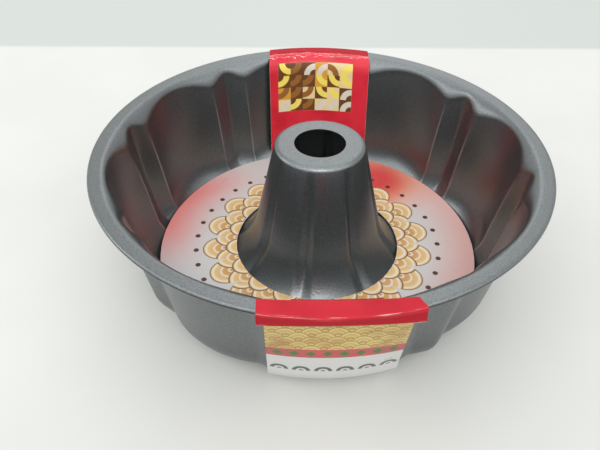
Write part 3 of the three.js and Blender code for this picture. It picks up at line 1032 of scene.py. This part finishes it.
def cracked(surface, strip, colour, down):
    """Print with two thin white cracks that wander along a fold."""
    wander = (surface.noise(strip, 0.16, 3, 0.6) - 0.5) * 9.0
    gaps = surface.noise(strip, 0.3, 2)
    for place in (0.6, 3.4):
        crack = (down + wander - place).between(-0.16, 0.16, 0.14) * gaps.ramp(0.42, 0.56)
        colour = layer(colour, PAPER, crack * 0.8)
    return colour


def tiles(surface, across, down):
    """Tiles with a quarter ring in each, in a corner and in colours drawn for each tile."""
    sand, umber, orange = (0.70, 0.55, 0.28), (0.13, 0.05, 0.018), (0.60, 0.30, 0.04)
    chestnut, yellow, stone = (0.27, 0.11, 0.03), (0.78, 0.62, 0.12), (0.62, 0.56, 0.46)
    column, row = (across - BOX_LEFT) / TILE, (down - BOX_TOP) / TILE
    first, second, third = surface.chance(column.math("FLOOR"), row.math("FLOOR"), 3.0)
    a = (column.math("FRACT") - first.math("GREATER_THAN", 0.5)).math("ABSOLUTE")
    b = (row.math("FRACT") - second.math("GREATER_THAN", 0.5)).math("ABSOLUTE")
    far = length(a, b)
    ground = layer(sand, umber, third.ramp(0.34, 0.36))
    ground = layer(ground, orange, third.ramp(0.66, 0.68))
    ring = layer(chestnut, yellow, first.ramp(0.39, 0.41))
    ring = layer(ring, stone, second.ramp(0.69, 0.71))
    colour = layer(ground, ring, 1 - far.ramp(0.88, 0.93))
    return layer(colour, ground, 1 - far.ramp(0.42, 0.47))


def back_flap_print(edge):
    """Red with a box of tiles, cracked where it is bent over the rim."""
    surface = Surface("back_flap_print")
    strip, across, along = surface.strip()
    down = along - edge
    box = across.between(BOX_LEFT, BOX_LEFT + TILE_COLUMNS * TILE, 0.25)
    box = box * down.between(BOX_TOP, BOX_TOP + TILE_ROWS * TILE, 0.25)
    colour = layer(uneven_ink(surface, strip, RED, DEEP_RED), tiles(surface, across, down), box)
    wear = (1 - down.ramp(1.0, 7.0)) * 0.35
    return finish_print(surface, cracked(surface, strip, colour, down), strip, wear)


def reddened_white(drift, x, y, out):
    """White that turns red in patches towards the card's edge; drift makes their borders irregular."""
    colour = layer((0.52, 0.507, 0.502), (0.55, 0.39, 0.36), (y + drift).ramp(10, 110) * 0.35)
    outer = (out + drift * 0.5).ramp(66, 106)
    left = outer * (drift - x).ramp(0, 75) * (y + drift).ramp(-45, 10) * (1 - (y + drift).ramp(48, 84))
    colour = layer(colour, (0.70, 0.15, 0.13), left * 0.85)
    colour = layer(colour, (0.74, 0.30, 0.25), outer * (x + drift).ramp(10, 90) * 0.6)
    corner = length(x - 40.0, y - 68.0) + drift
    colour = layer(colour, (0.66, 0.27, 0.17), 1 - corner.ramp(18, 52))
    return layer(colour, (0.56, 0.055, 0.055), 1 - corner.ramp(8, 36))


def rosette(ground, x, y, out):
    """Rings of fans with a scalloped border, in a ring of dots."""
    tan, pale_tan, ring_tan = (0.50, 0.25, 0.065), (0.68, 0.47, 0.21), (0.68, 0.63, 0.585)
    turn = y.math("ARCTAN2", x) * (ROSETTE_FANS / (2 * math.pi))
    far, line = fans(turn, ROSETTE_RADIUS - out, 1.0, ROSETTE_STEP, 3.0)
    colour = layer(tan, pale_tan, far.ramp(0.1, 0.95))
    colour = layer(colour, ring_tan, line * 0.8)
    colour = layer(colour, DARK_BROWN, far.ramp(0.9, 0.96) * 0.85)
    beyond = (out - ROSETTE_RADIUS).math("MAXIMUM", 0.0) / (2 * ROSETTE_STEP)
    scallop = 1 - length((turn.math("FRACT") - 0.5) * 2.0, beyond).ramp(0.96, 1.0)
    disc = 1 - out.ramp(ROSETTE_RADIUS - 0.2, ROSETTE_RADIUS + 0.2)
    colour = layer(ground, colour, scallop.math("MAXIMUM", disc))
    aside = ((turn * 2 + 0.5).math("FRACT") - 0.5) * out * (math.pi / ROSETTE_FANS)
    return layer(colour, DARK_BROWN, 1 - length(aside, out - DOT_RING).ramp(1.5, 1.9))


def floor_card_print():
    """Rosette on white that turns red towards the card's edge."""
    surface = Surface("floor_card_print")
    place = surface.place()
    x, y, _ = surface.axes(place, 1 / METRE)
    out = length(x, y)
    drift = (surface.noise(place, 16, 3) - 0.5) * 24.0
    colour = rosette(reddened_white(drift, x, y, out), x, y, out)
    return finish_print(surface, colour, surface.scaled(place, MILLIMETRES), wear=0.0)


def board(name, light, dark, fibre):
    """Uncoated card: the reverse of a print, or its cut edge."""
    surface = Surface(name)
    place = surface.scaled(surface.place(), MILLIMETRES)
    fibres = surface.noise(place, fibre, 4, 0.65)
    surface.set("Base Color", layer(light, dark, fibres.ramp(0.4, 0.75)))
    surface.set("Roughness", 0.75 + fibres * 0.15)
    surface.set("Normal", surface.bump(fibres, 0.00008, 0.6))
    return surface.material


# Stage, light and camera


def make_stage():
    """Pale table with painted shade that darkens it towards the front, and the greenish tone of a wall
    behind it.
    """
    surface = Surface("table")
    place = surface.place()
    x, y, _ = surface.axes(place)
    grain = surface.noise(place, 9, 3)
    colour = layer((0.572, 0.572, 0.545), (0.551, 0.551, 0.527), grain.ramp(0.35, 0.7))
    # Painted shade: the table darkens towards the front
    colour = layer(colour, (0.49, 0.49, 0.467), (0 - y).ramp(0.05, 0.3))
    colour = layer(colour, (0.441, 0.467, 0.446), (y - x * 0.045).ramp(0.322, 0.330))
    surface.set("Base Color", colour)
    surface.set("Roughness", 0.55)
    corners = np.array([(-1, -1, 0), (1, -1, 0), (1, 1, 0), (-1, 1, 0)]) * STAGE_REACH
    corners[:, 2] = STAGE_LEVEL
    mesh = make_mesh("table", corners / METRE, np.array([[0, 1, 2, 3]]), [surface.material])
    make_object("table", mesh)


def make_light(name, place, size, watts):
    data = bpy.data.lights.new(name, "AREA")
    data.shape = "DISK"
    data.size = size
    data.energy = watts
    place = Vector(place)
    turn = (place - Vector(LIGHT_TARGET)).to_track_quat("Z", "Y")
    make_object(name, data).matrix_world = Matrix.LocRotScale(place, turn, None)


def make_world(colour, walls, ceiling, windows):
    """Bright room: walls, a lighter ceiling, and a band of windows in the wall behind the camera."""
    world = bpy.data.worlds.new("studio")
    world.use_nodes = True
    tree = world.node_tree
    background = tree.nodes["Background"]
    feed(background.inputs["Color"], colour)
    direction = tree.nodes.new("ShaderNodeSeparateXYZ")
    feed(direction.inputs[0], tree.nodes.new("ShaderNodeTexCoord").outputs["Generated"])
    y, z = Value(direction.outputs["Y"]), Value(direction.outputs["Z"])
    band = z.between(0.42, 0.76, 0.12) * (1 - y.ramp(-0.45, 0.1))
    feed(background.inputs["Strength"], walls + z.ramp(0.72, 0.9) * ceiling + band * windows)
    bpy.context.scene.world = world


def make_camera():
    data = bpy.data.cameras.new("camera")
    data.sensor_width = CAMERA_SENSOR
    data.sensor_fit = "HORIZONTAL"
    data.lens = CAMERA_LENS
    data.clip_start = 0.01
    camera = make_object("camera", data)
    camera.matrix_world = (Matrix.Translation(CAMERA_PLACE) @ Matrix.Rotation(-CAMERA_YAW, 4, "Z")
                           @ Matrix.Rotation(QUARTER_TURN - CAMERA_PITCH, 4, "X")
                           @ Matrix.Rotation(CAMERA_ROLL, 4, "Z"))
    bpy.context.scene.camera = camera


reverse_board = board("reverse_board", (0.62, 0.60, 0.56), (0.50, 0.48, 0.44), 1.3)
cut_edge = board("cut_edge", (0.78, 0.76, 0.72), (0.66, 0.63, 0.58), 3.0)
white_board = board("white_board", (0.74, 0.73, 0.70), (0.66, 0.65, 0.61), 1.1)
backing = [reverse_board, cut_edge]

make_pan(coated_steel())
make_floor_card([floor_card_print(), *backing])

front = SleeveSide(-1)
back = SleeveSide(1)
front_red = red_card("front_red", front.under_lip, front.top, FRONT_RED, 0.12)
back_red = red_card("back_red", back.under_lip, back.top, BACK_RED, 0.06)
make_wrap(front, back, {"base": white_board, "reverse": reverse_board, "edge": cut_edge,
                        "front": front_panel_print(front.under_lip),
                        "back": back_panel_print(back.under_lip),
                        "front_lip": front_red, "back_lip": back_red})
make_rim_and_flap(front, "front", [front_red, *backing], [front_red, *backing], FRONT_FLAP_WIDTH / 2)
make_rim_and_flap(back, "back", [back_red, *backing], [back_flap_print(back.edge), *backing])

make_stage()
make_world((0.985, 1.0, 1.0), walls=0.86, ceiling=0.85, windows=1.55)
make_light("window", (-1.7, 0.2, 0.95), size=0.8, watts=4.5)
make_light("back_wall", (0.1, 2.1, 1.45), size=1.2, watts=3.4)
make_light("front", (0.1, -1.1, 1.45), size=0.8, watts=6.5)
make_camera()
bpy.context.scene.view_settings.view_transform = "Standard"
